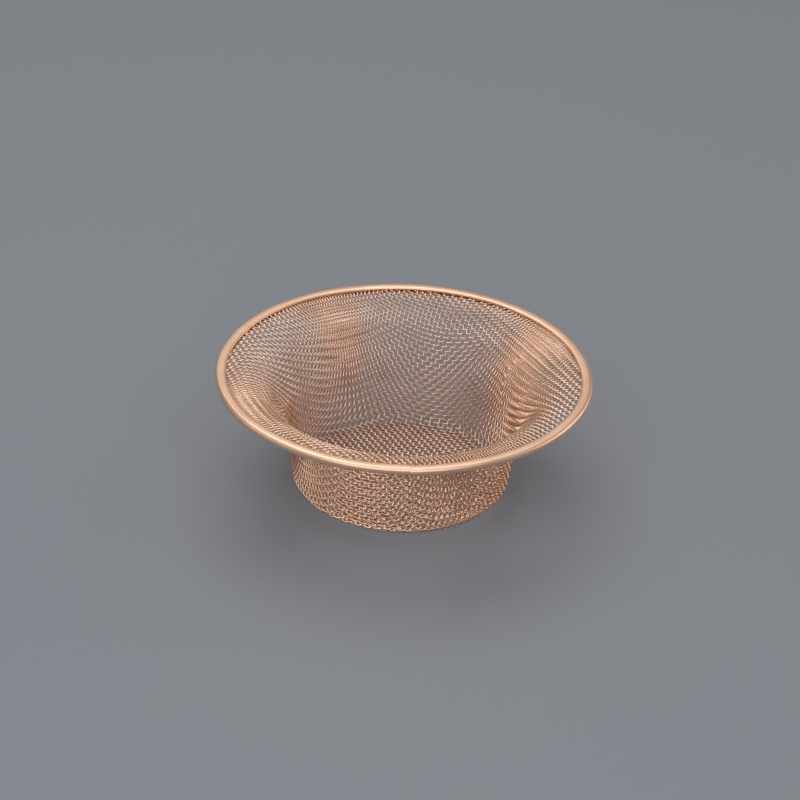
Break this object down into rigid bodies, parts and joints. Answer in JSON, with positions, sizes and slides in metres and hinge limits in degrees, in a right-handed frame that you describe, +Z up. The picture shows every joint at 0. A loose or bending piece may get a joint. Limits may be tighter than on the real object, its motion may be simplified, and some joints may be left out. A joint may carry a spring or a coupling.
{
  "type": "basket strainer",
  "caption": "Round basket strainer of woven copper wire cloth with a flat floor, steep wall and trumpet flare, its cut edge gripped by a folded copper strip.",
  "frame": {"origin": "centre of the floor's underside", "axes": "+Z up through the basket's mouth, -Y towards the rim strip's butt seam"},
  "size_m": [0.115, 0.115, 0.0385],
  "materials": {
    "copper_strip": "bright rolled copper strip, fine drawing marks",
    "copper_wire": "drawn copper wire, slightly warm and dull between the crowns"
  },
  "bodies": {
    "root": {"rim_band": "copper_strip", "warp_wires": "copper_wire", "weft_wires": "copper_wire"}
  },
  "joints": []
}
